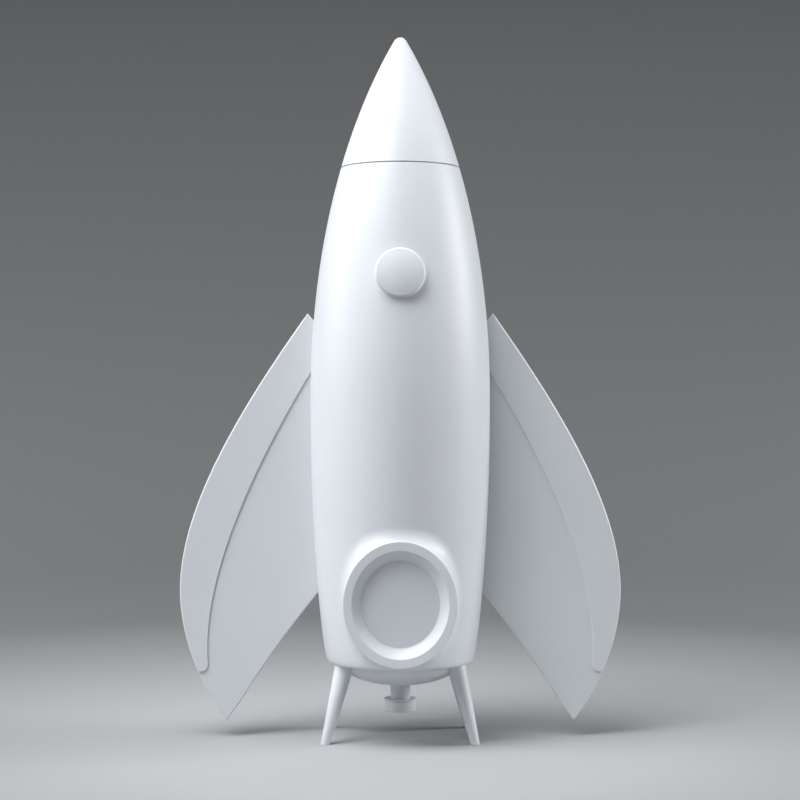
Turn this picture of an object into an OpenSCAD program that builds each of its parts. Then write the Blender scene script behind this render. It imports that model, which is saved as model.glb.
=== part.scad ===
// Model rocket with a bulbous fuselage, two swept fins and four landing legs.
// +Z is up along the rocket's axis, the fins lie along X, and the portholes face -Y.
// The origin is on the ground under the axis.

/* [Fuselage] */
// Largest radius of the fuselage
belly_r = 62.8; // [61.5:0.1:64]
// Height of the largest radius above the ground
belly_z = 235; // [230:1:240]
// Height of the flat underside
underside_z = 53; // [52:0.5:54]
// Height of the joint between nose and fuselage
seam_z = 397.8; // [394:0.2:400]
// Wall of the fuselage and nose mouldings
wall = 1.6; // [1.2:0.1:2]
// Gap that shows as the line under the nose
seam_gap = 0.4; // [0.2:0.1:0.6]

/* [Nose] */
// Radius of the shoulder that plugs into the neck
shoulder_r = 35.9; // [34:0.1:36]
// Length of the shoulder below the joint
shoulder_l = 40; // [30:1:42]
// Radius of the round tip
tip_r = 4.9; // [4.5:0.1:5.2]

/* [Fins] */
// Thickness of a fin plate
fin_t = 3; // [2:0.5:4]
// Thickness of the raised band along a fin's leading edge
band_t = 1; // [0.6:0.1:1.4]
// Half of the span over both fins
half_span = 154.3; // [150:0.1:160]

/* [Landing legs] */
// Radius of a leg at the ground
leg_foot_r = 3.2; // [3:0.1:4]
// Radius of a leg at the underside
leg_top_r = 6.5; // [6:0.1:6.6]
// Sideways place of a front foot
foot_x = 51.3; // [49:0.1:54]
// How far a front foot stands ahead of the axis
foot_y = 31.6; // [30:0.1:34]
// Sideways place of a front leg's top
hip_x = 38.6; // [38:0.1:39]
// How far a front leg's top lies ahead of the axis
hip_y = 19; // [18:0.1:19.2]
// Angle by which the rear legs are turned further from the fins
rear_turn = 3.5; // [0:0.5:5]

/* [Portholes] */
// Height of the large porthole's centre
port_z = 98.8; // [96:0.1:101]
// Half of the large porthole's height over its rim
port_r = 42.5; // [41:0.1:43]
// Width of the large porthole as a share of its height
port_squeeze = 0.9; // [0.85:0.01:0.95]
// Distance from the axis to the large porthole's rim face
port_face = 63.5; // [62.5:0.1:64]
// Depth of the pane below the rim face
port_recess = 6.3; // [5:0.1:7]
// Height of the small porthole's centre
button_z = 321; // [315:1:327]
// Radius of the small porthole's cap
button_r = 16.3; // [15:0.1:18]
// How far the small porthole's cap stands proud
button_h = 5; // [4:0.2:5.6]

/* [Motor mount] */
// Outer radius of the motor tube
mount_r = 6.9; // [6.9:0.1:7.2]
// Bore radius of the motor tube
mount_bore = 6.6; // [6.6:0.05:6.7]
// Radius of the motor casing
motor_r = 6.5; // [6.4:0.05:6.55]
// Length of the motor casing
motor_l = 45; // [40:1:50]
// Outer radius of the retainer cap
cap_r = 10.7; // [10.5:0.1:11]
// Height of the retainer cap's lower face
cap_z = 18.1; // [17:0.1:19]

/* [Recovery bay] */
// Outer radius of the tube that holds the parachute
bay_r = 21; // [20:0.5:23]
// Radius of the packed parachute
chute_r = 19.2; // [17:0.1:19.5]
// Length of the packed parachute
chute_l = 80; // [60:1:90]

/* [Launch lug] */
// Bore radius of the launch lug
lug_bore = 2; // [2:0.1:2.2]
// Wall of the launch lug
lug_wall = 0.8; // [0.6:0.1:1]
// Length of the launch lug
lug_l = 50; // [40:1:60]
// Distance from the rocket's axis to the launch lug's axis
lug_x = 67.5; // [67:0.1:70]

/* [Hidden] */

$fn = 96;
white = [0.93, 0.94, 0.95];
pearl = [0.86, 0.87, 0.89];
kraft = [0.72, 0.58, 0.4];
glue = 0.15;                    // gap left for the glue between bonded pieces
running = 0.08;                 // radial clearance of a fit that turns or slides

// Hull line: cubic curves of [radius, height] from the stern to the tip.
stern_curve = [[52.6, 60], [56.4, 82], [belly_r, belly_z - 85], [belly_r, belly_z]];
bow_curve = [[belly_r, belly_z], [belly_r, 364.8], [27.7, 446.5], [4.2, 486.5]];
bilge_curve = [[49.4, underside_z], [51.4, underside_z + 0.4], [51.9, 56.4], [52.6, 60]];
tip_z = 484;                    // centre of the round tip

function bezier(p, t) = pow(1 - t, 3) * p[0] + 3 * pow(1 - t, 2) * t * p[1]
    + 3 * (1 - t) * t * t * p[2] + t * t * t * p[3];
function curve(p, n) = [for (i = [0:n]) bezier(p, i / n)];
hull_table = [for (q = concat(curve(stern_curve, 60), curve(bow_curve, 60))) [q[1], q[0]]];
function hull_r(z) = lookup(z, hull_table);
// Points up a wall between two heights, inset from the hull line
function wall_line(z0, z1, inset, n) =
    [for (i = [0:n]) let (z = z0 + (z1 - z0) * i / n) [hull_r(z) - inset, z]];
function backwards(list) = [for (i = [len(list) - 1:-1:0]) list[i]];

bilge_z = 60;                   // where the round lower edge runs into the side
side_z = bilge_z + 4;           // lowest point of the side that follows the stern curve alone
shell_top = seam_z - seam_gap;
floor_r = 34;                   // inner edge of the underside's flat ring
neck_r = shoulder_r + running;
neck_foot = seam_z - shoulder_l - 3;
ring_t = 3;                     // thickness of the plywood rings
forward_z = neck_foot - 12;     // lower face of the forward ring
middle_z = 200;
rear_z = 118;
rear_ring_front = 43;           // the rear ring is cut off here, behind the large porthole's neck
bay_bore = bay_r - 0.7;
bay_foot = 60;
chute_top = forward_z - 2;
wadding_l = 24;
wadding_top = chute_top - chute_l - 2;
lug_foot = 150;
button_slope = atan((hull_r(button_z - 10) - hull_r(button_z + 10)) / 20);

// Turns a piece from the Z axis to face forward
module facing_front(z, y) {
    translate([0, -y, z]) rotate([90, 0, 0]) children();
}

module ring(z, h, outer, inner) {
    translate([0, 0, z]) difference() {
        cylinder(h = h, r = outer);
        translate([0, 0, -1]) cylinder(h = h + 2, r = inner);
    }
}

module hull_solid(grow = 0) {
    rotate_extrude()
        polygon(concat([[0, underside_z]], curve(bilge_curve, 8), wall_line(side_z, seam_z, -grow, 44),
            [[0, seam_z]]));
}

// ---- fuselage ----

module button_axis() {
    translate([0, -hull_r(button_z), button_z]) rotate([90 - button_slope, 0, 0]) children();
}

module fuselage_shell() {
    color(white) difference() {
        rotate_extrude()
            polygon(concat(
                [[floor_r, underside_z]], curve(bilge_curve, 8), wall_line(side_z, shell_top, 0, 44),
                backwards(wall_line(side_z, shell_top, wall, 44)),
                [[50.2, underside_z + wall + 2], [49, underside_z + wall], [floor_r, underside_z + wall]]));
        oval_plate(port_neck_r + glue, rear_ring_front, port_face);
        button_axis() cylinder(h = 20, r = button_spigot_r + glue, center = true);
        for (side = [-1, 1])
            translate([side * belly_r, 0, (tab_foot + tab_top) / 2])
                cube([20, fin_t + 2 * glue, tab_top - tab_foot + 2 * glue], center = true);
        for (x = [-1, 1], y = [-1, 1]) leg_spigot(x, y, leg_spigot_r + glue);
    }
}

// Sleeve that guides the shoulder, with a flange at each end that is glued to the shell
module neck_ring() {
    top = shell_top - 0.6;
    foot_flange = 3;
    top_flange = 4;
    foot_edge = hull_r(neck_foot + foot_flange) - wall - glue;
    top_edge = hull_r(top) - wall - glue;
    color(pearl) rotate_extrude() polygon([
        [neck_r, neck_foot], [foot_edge, neck_foot], [foot_edge, neck_foot + foot_flange],
        [neck_r + wall, neck_foot + foot_flange], [neck_r + wall, top - top_flange],
        [top_edge, top - top_flange], [top_edge, top], [neck_r, top]
    ]);
}

module centring_ring(z) {
    edge = min(hull_r(z), hull_r(z + ring_t)) - wall - glue;
    color(kraft) ring(z, ring_t, edge, bay_r + glue);
}

module forward_ring() {
    color(kraft) difference() {
        centring_ring(forward_z);
        translate([anchor_x, 0, forward_z - 1]) cylinder(h = ring_t + 2, r = eye_wire + glue);
    }
}

module middle_ring() centring_ring(middle_z);

module rear_ring() {
    color(kraft) difference() {
        centring_ring(rear_z);
        translate([-port_r, -belly_r, rear_z - 1])
            cube([2 * port_r, belly_r - rear_ring_front, ring_t + 2]);
    }
}

module stuffer_tube() {
    color(kraft) ring(bay_foot, forward_z + ring_t - bay_foot, bay_r, bay_bore);
}

eye_wire = 0.9;                 // radius of a screw eye's wire
eye_r = 3.6;                    // radius of its ring at the middle of the wire
// Screw eye: a wire ring on a straight shank that points down the Z axis
module screw_eye(shank) {
    translate([0, 0, eye_r + eye_wire])
        rotate([90, 0, 0])
        rotate_extrude()
        translate([eye_r, 0])
        circle(r = eye_wire, $fn = 32);
    translate([0, 0, -shank]) cylinder(h = shank + 0.5, r = 0.8 * eye_wire, $fn = 32);
}

anchor_x = 29;                  // the anchor stands between the bay tube and the hull wall
module recovery_anchor() {
    color("silver") translate([anchor_x, 0, forward_z + ring_t]) screw_eye(ring_t + 3);
}

module wadding() {
    color("lightyellow") translate([0, 0, wadding_top - wadding_l]) cylinder(h = wadding_l, r = bay_bore - 0.5);
}

// ---- tail ----

dome_r = 42;
dome_h = 16.3;
plate_r = 48.5;
plate_t = 4;
leg_spigot_r = 2;
leg_spigot_l = 11;
hip = [hip_x, hip_y];
foot = [foot_x, foot_y];
spigot_shift = [2, 1];          // the pegs stand outboard of the hips, clear of the dome's edge

// Place of a point of a leg in plan, for the side x and the end y that the leg stands at
function on_leg(p, x, y) =
    let (a = y > 0 ? rear_turn : 0) [x * (p[0] * cos(a) - p[1] * sin(a)), y * (p[0] * sin(a) + p[1] * cos(a))];

// Peg on a leg's top that is glued through the underside
module leg_spigot(x, y, r) {
    place = on_leg(hip + spigot_shift, x, y);
    translate([place[0], place[1], underside_z - 1]) cylinder(h = 1 + leg_spigot_l, r = r, $fn = 48);
}

module tail_plate() {
    color(kraft) difference() {
        ring(underside_z + wall + glue, plate_t, plate_r, mount_r + glue);
        for (x = [-1, 1], y = [-1, 1]) leg_spigot(x, y, leg_spigot_r + glue);
    }
}

module dome_solid(inset) {
    rotate_extrude() polygon(concat([[0, underside_z]],
        [for (a = [0:6:90]) [(dome_r - inset) * cos(a), underside_z - (dome_h - inset) * sin(a)]]));
}

module tail_dome() {
    color(white) difference() {
        dome_solid(0);
        translate([0, 0, 0.01]) dome_solid(wall);
        translate([0, 0, underside_z - 2 * dome_h]) cylinder(h = 2 * dome_h + 1, r = mount_r + glue);
    }
}

module leg(x, y) {
    slice = 0.01;
    color(white) {
        difference() {
            hull() {
                translate(on_leg(foot, x, y)) cylinder(h = slice, r = leg_foot_r, $fn = 48);
                translate([0, 0, underside_z - slice])
                    translate(on_leg(hip, x, y))
                    cylinder(h = slice, r = leg_top_r, $fn = 48);
            }
            dome_solid(0);
        }
        leg_spigot(x, y, leg_spigot_r);
    }
}

module leg_front_left() leg(-1, -1);
module leg_front_right() leg(1, -1);
module leg_rear_left() leg(-1, 1);
module leg_rear_right() leg(1, 1);

// ---- fins ----

fin_corner = [64.9, 296];       // sharp upper corner against the hull
fin_widest = [half_span, 102.5];
fin_tip = [121.5, 11.3];        // lowest point
fin_root = 50;                  // the outline runs this far in before the hull is cut from it
tab_foot = 125;                 // the tab that passes through the shell to the bay tube
tab_top = 196;
leading_edge = concat(
    curve([fin_corner, [114.7, 226], [half_span, 158.5], fin_widest], 24),
    curve([fin_widest, [half_span, 71.1], [141.7, 37.8], fin_tip], 16));
trailing_edge = curve([fin_tip, [105.8, 31.2], [99.2, 48.8], [57.8, 100.3]], 12);

module fin_outline() {
    polygon(concat([[fin_root, 279]], leading_edge, trailing_edge, [[fin_root, 107]]));
}

band_foot = 45.5;               // height of the band's lower end
band_corner = [134.4, 53];      // where its inner edge starts to turn round that end
band_inner = concat(
    curve([[62, 255.6], [112.7, 172.2], [137.7, 102.9], band_corner], 24),
    curve([band_corner, [133.7, 49.6], [134.9, 45.6], [139, band_foot]], 6));

// Everything outboard of the band's inner edge
module band_region() {
    beyond = half_span + 40;
    above = fin_corner[1] + 24;
    polygon(concat([[fin_root, 266]], band_inner, [[beyond, band_foot], [beyond, above], [fin_root, above]]));
}

module standing(thickness) {
    rotate([90, 0, 0]) linear_extrude(height = thickness, center = true) children();
}

module fin(side) {
    color(white) mirror([side < 0 ? 1 : 0, 0, 0]) {
        difference() {
            standing(fin_t) fin_outline();
            hull_solid(glue);
        }
        translate([bay_r + glue, -fin_t / 2, tab_foot])
            cube([hull_r(tab_foot) + 2 - bay_r, fin_t, tab_top - tab_foot]);
    }
}

module fin_band(side, face) {
    color(white) mirror([side < 0 ? 1 : 0, 0, 0]) difference() {
        translate([0, face * (fin_t + band_t) / 2, 0]) standing(band_t) intersection() {
            fin_outline();
            band_region();
        }
        hull_solid(glue);
    }
}

module fin_left() fin(-1);
module fin_right() fin(1);
module fin_left_band_front() fin_band(-1, -1);
module fin_left_band_rear() fin_band(-1, 1);
module fin_right_band_front() fin_band(1, -1);
module fin_right_band_rear() fin_band(1, 1);

module launch_lug() {
    color(white) translate([-lug_x, fin_t / 2 + lug_bore + lug_wall, 0])
        ring(lug_foot, lug_l, lug_bore + lug_wall, lug_bore);
}

// ---- portholes ----

port_inner = port_r - 6.2;      // inner edge of the rim's flat face
port_lip = port_r - 13;         // opening in front of the pane
port_pane_r = port_r - 11.3;
port_neck_r = port_r - 9.5;     // neck that passes back through the hull
port_pane_t = 2;
gasket_t = 1;
backing_t = 2.5;
port_seat = port_face - port_recess;    // plane of the pane's front
port_back = port_seat - 7.5;            // inner end of the neck

// Slab of the porthole's oval section between two distances from the rocket's axis
module oval_plate(r, y0, y1) {
    facing_front(port_z, y0)
        linear_extrude(height = y1 - y0)
        polygon([for (a = [0:5:355]) [port_squeeze * r * cos(a), r * sin(a)]]);
}

// Rim whose outside flares to the hull, on a neck that holds the pane, with a funnel cut in front
module porthole_bezel() {
    flare = 2;
    flare_back = 38;
    above = 1.2;
    color(white) difference() {
        union() {
            difference() {
                hull() {
                    oval_plate(port_r + flare, flare_back, flare_back + 1);
                    oval_plate(port_r, port_face - 0.5, port_face);
                }
                hull_solid(glue);
            }
            oval_plate(port_neck_r, port_back, port_seat + 1);
        }
        hull() {
            oval_plate(port_lip, port_seat - 0.1, port_seat);
            oval_plate(port_inner + 1, port_face + above, port_face + above + 0.02);
        }
        oval_plate(port_pane_r + glue, port_back - 1, port_seat);
    }
}

// A layer of the window, from one depth below the pane's front to another
module pane_layer(depth, thickness, inner) {
    difference() {
        oval_plate(port_pane_r, port_seat - depth - thickness, port_seat - depth);
        if (inner > 0) oval_plate(inner, port_back - 1, port_face);
    }
}

module porthole_pane() color(pearl) pane_layer(0, port_pane_t, 0);
module porthole_gasket() color("dimgray") pane_layer(port_pane_t, gasket_t, port_pane_r - 3);
module porthole_backing_ring() color(white) pane_layer(port_pane_t + gasket_t, backing_t, port_pane_r - 4);

button_spigot_r = 10;
button_spigot_l = 5;            // how far the spigot reaches in behind the skin
button_dome = 1.2;
button_edge = 0.6;
clip_r = 14;
clip_t = 1;
module button_porthole() {
    cap_back = -2.5;
    shoulder = button_h - button_dome;
    color(white) button_axis() {
        difference() {
            rotate_extrude() polygon(concat(
                [[0, cap_back], [button_r, cap_back], [button_r, shoulder - button_edge]],
                [for (a = [0:15:90]) [(button_r - button_edge) * cos(a), shoulder + button_dome * sin(a)]]));
            button_seat();
        }
        translate([0, 0, -button_spigot_l]) cylinder(h = button_spigot_l + 1, r = button_spigot_r);
    }
}

// The hull as the cap sees it from its own axis, to cope the cap's back to the skin
module button_seat() {
    rotate([button_slope - 90, 0, 0]) translate([0, hull_r(button_z), -button_z]) hull_solid(glue);
}

module button_clip() {
    color("silver") button_axis() ring(0.4 - button_spigot_l, clip_t, clip_r, button_spigot_r + glue);
}

// ---- nose ----

hollow_top = 470;               // the cone is solid above this height
ballast_foot = 446;
ballast_top = hollow_top - 6;

module nose_cone() {
    color(white) rotate_extrude() polygon(concat(
        [[hull_r(seam_z) - wall, seam_z]], wall_line(seam_z, tip_z, 0, 24),
        [for (a = [30:10:90]) [tip_r * cos(a), tip_z + tip_r * sin(a)]],
        [[0, hollow_top]], backwards(wall_line(seam_z + 4, hollow_top - 4, wall, 18))));
}

// Cup that slides in the neck, with a flange at its rim that is glued inside the cone's base
module nose_shoulder() {
    foot = seam_z - shoulder_l;
    chamfer = 1;
    floor_t = 2;
    side_t = 1.4;
    lip_z = seam_z + 0.2;
    lip_t = 1.8;
    lip_edge = hull_r(lip_z + lip_t + 0.2) - wall - glue;
    color(pearl) rotate_extrude() polygon([
        [eye_wire + glue, foot], [shoulder_r - chamfer, foot], [shoulder_r, foot + chamfer],
        [shoulder_r, lip_z], [lip_edge, lip_z], [lip_edge, lip_z + lip_t], [shoulder_r - side_t, lip_z + lip_t],
        [shoulder_r - side_t, foot + floor_t], [eye_wire + glue, foot + floor_t]
    ]);
}

module nose_eyelet() {
    color("silver") translate([0, 0, seam_z - shoulder_l]) mirror([0, 0, 1]) screw_eye(5);
}

module nose_ballast() {
    color("gray") rotate_extrude() polygon(concat(
        [[0, ballast_foot]], wall_line(ballast_foot, ballast_top, wall + glue, 6), [[0, ballast_top]]));
}

// ---- recovery ----

module parachute_pack() {
    color("orange") translate([0, 0, chute_top - chute_l]) cylinder(h = chute_l, r = chute_r);
}

// ---- motor and mount ----

motor_foot = cap_z + wall;      // lower end of the motor, resting on the cap's floor
motor_bore = 4.8;               // inner radius of the motor casing
nozzle_l = 7;
nozzle_throat = 1;
grain_l = 15;
delay_l = 11;
ejection_l = 5;
charge_gap = 0.2;               // gap between one pressed charge and the next
mount_top = 96;
mount_ring_low = 62;
mount_ring_high = 88;
collar_foot = motor_foot + 0.6;
collar_top = 26.9;
collar_wall = 1.3;              // how far the threads of collar and cap lie inside the cap's outside
flange_t = 1.2;
flange_over = 0.5;              // how far the collar's flange stands out past the cap
exhaust_r = 4.7;
bond = 0.02;                    // gap between pieces that are pressed together

module motor_tube() {
    color(kraft) ring(collar_foot, mount_top - collar_foot, mount_r, mount_bore);
}

module mount_ring(z) color(kraft) ring(z, ring_t, bay_bore - glue, mount_r + glue);
module motor_ring_upper() mount_ring(mount_ring_high);
module motor_ring_lower() mount_ring(mount_ring_low);

module thrust_ring() {
    color(kraft) ring(motor_foot + motor_l + glue, 5, mount_bore - 0.05, motor_bore + 0.4);
}

module retainer_collar() {
    color("silver") {
        ring(collar_foot, collar_top - collar_foot, cap_r - collar_wall, mount_r + bond);
        ring(collar_top - flange_t, flange_t, cap_r + flange_over, mount_r + bond);
    }
}

module retainer_cap() {
    color(white) {
        ring(cap_z, wall, cap_r, exhaust_r);
        ring(cap_z, collar_top - flange_t - 0.1 - cap_z, cap_r, cap_r - collar_wall + running);
    }
}

module motor_casing() color(kraft) ring(motor_foot + bond, motor_l, motor_r, motor_bore);

module motor_nozzle() {
    mouth_r = 2.6;
    mouth_l = 3;
    color("dimgray") translate([0, 0, motor_foot + bond]) difference() {
        cylinder(h = nozzle_l, r = motor_bore - charge_gap / 4);
        translate([0, 0, -1]) cylinder(h = nozzle_l + 2, r = nozzle_throat);
        translate([0, 0, -0.01]) cylinder(h = mouth_l, r1 = mouth_r, r2 = nozzle_throat);
    }
}

// Pressed charge of the motor, from one height above the motor's foot
module motor_charge(z, h) {
    translate([0, 0, motor_foot + z]) cylinder(h = h, r = motor_bore - charge_gap / 4);
}

grain_z = nozzle_l + charge_gap;
delay_z = grain_z + grain_l + charge_gap;
ejection_z = delay_z + delay_l + charge_gap;
module propellant_grain() color("black") motor_charge(grain_z, grain_l);
module delay_charge() color("gray") motor_charge(delay_z, delay_l);
module ejection_cap() color("tan") motor_charge(ejection_z, ejection_l);

fuselage_shell();
neck_ring();
forward_ring();
middle_ring();
rear_ring();
stuffer_tube();
recovery_anchor();
wadding();
motor_tube();
motor_ring_upper();
motor_ring_lower();
thrust_ring();
retainer_collar();
tail_plate();
tail_dome();
leg_front_left();
leg_front_right();
leg_rear_left();
leg_rear_right();
fin_left();
fin_right();
fin_left_band_front();
fin_left_band_rear();
fin_right_band_front();
fin_right_band_rear();
launch_lug();
porthole_bezel();
porthole_pane();
porthole_gasket();
porthole_backing_ring();
button_porthole();
button_clip();
nose_cone();
nose_shoulder();
nose_eyelet();
nose_ballast();
parachute_pack();
motor_casing();
motor_nozzle();
propellant_grain();
delay_charge();
ejection_cap();
retainer_cap();
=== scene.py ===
import bisect
import math
import bpy
import bmesh
from mathutils import Matrix, Vector, noise


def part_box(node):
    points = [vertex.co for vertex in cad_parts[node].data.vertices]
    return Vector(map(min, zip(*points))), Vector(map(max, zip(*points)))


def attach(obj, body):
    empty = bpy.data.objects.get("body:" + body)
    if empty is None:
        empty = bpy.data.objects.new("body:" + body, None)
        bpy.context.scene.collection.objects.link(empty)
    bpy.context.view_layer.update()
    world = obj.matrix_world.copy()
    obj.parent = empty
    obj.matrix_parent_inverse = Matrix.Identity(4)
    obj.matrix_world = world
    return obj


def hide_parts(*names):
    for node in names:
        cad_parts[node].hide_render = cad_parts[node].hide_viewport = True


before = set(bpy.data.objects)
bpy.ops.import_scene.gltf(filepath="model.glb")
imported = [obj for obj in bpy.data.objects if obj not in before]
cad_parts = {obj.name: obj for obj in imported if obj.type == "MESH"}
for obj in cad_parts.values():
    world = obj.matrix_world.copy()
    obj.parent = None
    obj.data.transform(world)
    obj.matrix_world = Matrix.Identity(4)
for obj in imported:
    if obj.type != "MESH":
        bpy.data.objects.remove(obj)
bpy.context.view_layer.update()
scene = bpy.context.scene
scene.view_settings.view_transform = "Standard"

# ---------------------------------------------------------------------------
# Camera: a level stand camera with a short telephoto lens, in front of the
# portholes and at about half the rocket's height.
CAMERA_DISTANCE = 1.3222
CAMERA_HEIGHT = 0.2424
lens = bpy.data.cameras.new("stand_camera")
lens.lens = 85
lens.sensor_width = 36
camera = bpy.data.objects.new("stand_camera", lens)
camera.location = (-0.0002, -CAMERA_DISTANCE, CAMERA_HEIGHT)
camera.rotation_euler = (math.radians(90 - 0.3), 0, 0)
scene.collection.objects.link(camera)
scene.camera = camera


# ---------------------------------------------------------------------------
# Studio: a pale floor and a round grey backdrop, whose grey is painted darker
# towards the backdrop's foot as painted shade, lit by a bank of large soft boxes
# high on the left, a small one low on the left, two low on the right and one overhead.
def plain_material(name, colour, roughness):
    """A new material and its shader, with one colour to start from."""
    made = bpy.data.materials.new(name)
    made.use_nodes = True
    shader = made.node_tree.nodes["Principled BSDF"]
    shader.inputs["Base Color"].default_value = (*colour, 1)
    shader.inputs["Roughness"].default_value = roughness
    return made, shader


def turned_mesh(name, line, steps):
    """The line of (radius, height) points turned once round the Z axis."""
    bm = bmesh.new()
    points = [bm.verts.new((r, 0, z)) for r, z in line]
    edges = [bm.edges.new(pair) for pair in zip(points, points[1:])]
    bmesh.ops.spin(bm, geom=points + edges, cent=(0, 0, 0), axis=(0, 0, 1), angle=math.tau,
                   steps=steps, use_merge=True, use_duplicate=False)
    bmesh.ops.remove_doubles(bm, verts=bm.verts, dist=1e-6)
    bmesh.ops.delete(bm, geom=[e for e in bm.edges if not e.link_faces], context="EDGES")
    bmesh.ops.recalc_face_normals(bm, faces=bm.faces)
    mesh = bpy.data.meshes.new(name)
    bm.to_mesh(mesh)
    bm.free()
    mesh.shade_smooth()
    return mesh


FLOOR_R = 0.45
SWEEP_R = 4.0
sweep = [(0.0, 0.0), (0.25, 0.0)] + [
    (FLOOR_R + SWEEP_R * math.sin(math.radians(a)), SWEEP_R * (1 - math.cos(math.radians(a))))
    for a in range(0, 91, 3)]
studio = bpy.data.objects.new("studio_sweep", turned_mesh("studio_sweep", sweep, 96))
scene.collection.objects.link(studio)
studio_paint_with_painted_shade, studio_shader = plain_material("studio_paint_with_painted_shade", (0.36, 0.365, 0.37), 0.75)
STUDIO_REACH = 4.0
FLOOR_GREY = 0.33
FOOT_PAINTED_SHADE_GREY = 0.15
TOP_GREY = 0.32
# The greys along the floor dip to their darkest round the foot of the backdrop and rise again up the wall:
# painted shade where the lamps' light falls off, not the floor's own paint.
STUDIO_GREYS_WITH_PAINTED_SHADE = ((0.20, FLOOR_GREY), (0.66, FOOT_PAINTED_SHADE_GREY), (0.95, FOOT_PAINTED_SHADE_GREY), (3.10, TOP_GREY))
tree = studio_paint_with_painted_shade.node_tree
place = tree.nodes.new("ShaderNodeTexCoord")
flat = tree.nodes.new("ShaderNodeVectorMath")
flat.operation = "MULTIPLY"
flat.inputs[1].default_value = (1 / STUDIO_REACH, 1 / STUDIO_REACH, 0)
far = tree.nodes.new("ShaderNodeVectorMath")
far.operation = "LENGTH"
greys_with_painted_shade = tree.nodes.new("ShaderNodeValToRGB")
for i, (reach, grey) in enumerate(STUDIO_GREYS_WITH_PAINTED_SHADE):
    stop = greys_with_painted_shade.color_ramp.elements[i] if i < 2 else greys_with_painted_shade.color_ramp.elements.new(1.0)
    stop.position = reach / STUDIO_REACH
    stop.color = (grey * 0.985, grey, grey * 1.03, 1)
tree.links.new(place.outputs["Object"], flat.inputs[0])
tree.links.new(flat.outputs["Vector"], far.inputs[0])
tree.links.new(far.outputs["Value"], greys_with_painted_shade.inputs["Fac"])
tree.links.new(greys_with_painted_shade.outputs["Color"], studio_shader.inputs["Base Color"])
studio.data.materials.append(studio_paint_with_painted_shade)
for face in studio.data.polygons:
    if face.normal.z < 0:
        face.flip()


LIGHT_AIM = Vector((0, 0, 0.25))
LIGHT_DISTANCE = 2.0


def soft_box(name, around, up, width, height, power):
    """An unseen area light, placed by its angle round from the front (to the right) and its angle up."""
    light = bpy.data.lights.new(name, "AREA")
    light.shape = "RECTANGLE"
    light.size, light.size_y = width, height
    light.energy = power
    light.color = (0.985, 0.995, 1.0)
    lamp = bpy.data.objects.new(name, light)
    turn = Matrix.Rotation(math.radians(around), 3, "Z") @ Matrix.Rotation(math.radians(-up), 3, "X")
    lamp.location = LIGHT_AIM + turn @ Vector((0, -LIGHT_DISTANCE, 0))
    lamp.rotation_euler = (LIGHT_AIM - lamp.location).to_track_quat("-Z", "Y").to_euler()
    lamp.visible_camera = False
    scene.collection.objects.link(lamp)
    return lamp


soft_box("key_high", -60, 65, 1.0, 1.4, 26.0)
soft_box("key_front", -40, 60, 1.0, 1.4, 19.0)
soft_box("key_middle", -60, 45, 1.0, 1.4, 13.8)
soft_box("key_low", -40, 35, 1.0, 1.4, 6.0)
soft_box("left_edge", -90, 17, 0.9, 0.7, 12.5)
soft_box("right_edge", 95, 17, 0.6, 0.7, 27.0)
soft_box("right_fill", 75, 17, 0.6, 0.7, 5.6)
soft_box("top_glint", -15, 80, 0.7, 1.4, 10.0)
air = bpy.data.worlds.new("studio_air")
air.use_nodes = True
air.node_tree.nodes["Background"].inputs["Color"].default_value = (0.02, 0.02, 0.02, 1)
air.node_tree.nodes["Background"].inputs["Strength"].default_value = 1.0
scene.world = air


# ---------------------------------------------------------------------------
# Finishes that several pieces share: the skin of moulded or sprayed plastic,
# with the faint orange peel and the slightly uneven gloss that such a skin has.
def node_group(name, inputs, outputs):
    """An empty shader node group with named number inputs and the outputs given."""
    group = bpy.data.node_groups.new(name, "ShaderNodeTree")
    for label, value in inputs:
        socket = group.interface.new_socket(label, in_out="INPUT", socket_type="NodeSocketFloat")
        socket.default_value = value
    for label, kind in outputs:
        group.interface.new_socket(label, in_out="OUTPUT", socket_type=kind)
    return group, group.nodes.new("NodeGroupInput"), group.nodes.new("NodeGroupOutput")


def wire(tree, *pairs):
    """Joins each pair of (from socket, to socket)."""
    for start, end in pairs:
        tree.links.new(start, end)


def noise_node(tree, scale, detail=3.0):
    made = tree.nodes.new("ShaderNodeTexNoise")
    made.inputs["Scale"].default_value = scale
    made.inputs["Detail"].default_value = detail
    return made


def range_node(tree, low, high, new_low, new_high):
    made = tree.nodes.new("ShaderNodeMapRange")
    for label, value in (("From Min", low), ("From Max", high), ("To Min", new_low), ("To Max", new_high)):
        made.inputs[label].default_value = value
    return made


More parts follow.
